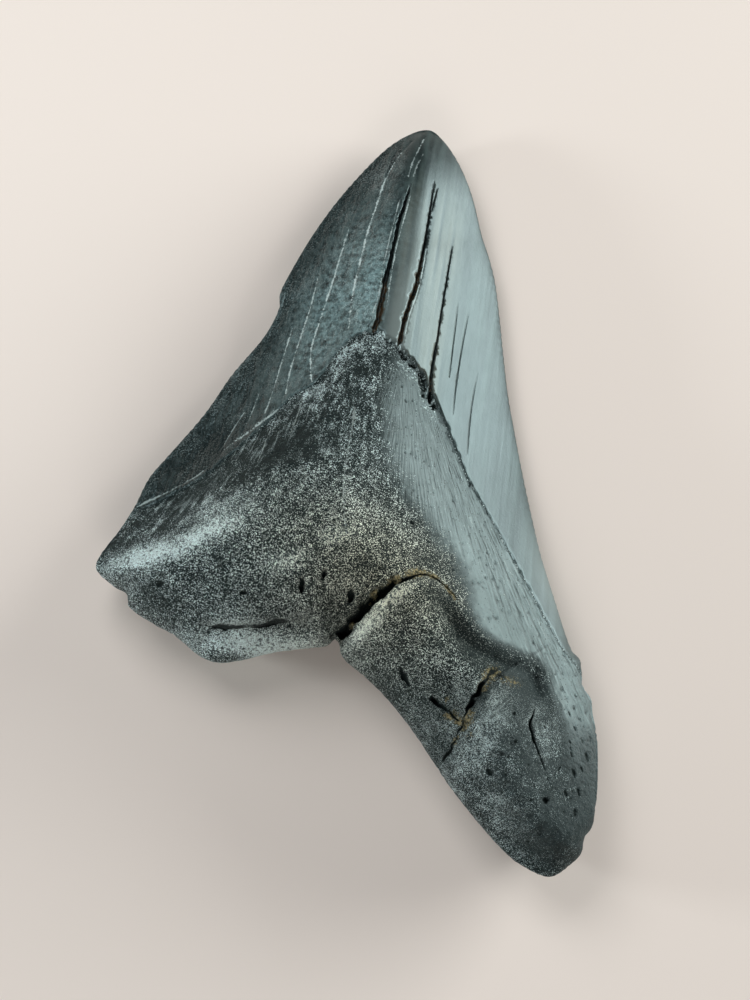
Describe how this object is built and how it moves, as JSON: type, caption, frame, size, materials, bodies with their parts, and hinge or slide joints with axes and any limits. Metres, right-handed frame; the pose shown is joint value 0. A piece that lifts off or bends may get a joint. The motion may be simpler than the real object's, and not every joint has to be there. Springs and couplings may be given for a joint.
{
  "type": "megalodon tooth",
  "caption": "Fossil shark tooth with a broad pointed crown and a thick two-lobed root, one side of the root much longer, lying on its flat labial face.",
  "frame": {"origin": "centre of the tooth's box, on the surface it lies on", "axes": "+Y towards the tip of the crown, +Z out of the bulging lingual side, +X towards the longer root lobe"},
  "size_m": [0.0844, 0.127, 0.0268],
  "materials": {
    "fossil_mineral": "blue-black mineralised enamel with a satin gloss, root matt and finely granular"
  },
  "bodies": {
    "root": {"megalodon_tooth": "fossil_mineral"}
  },
  "joints": []
}
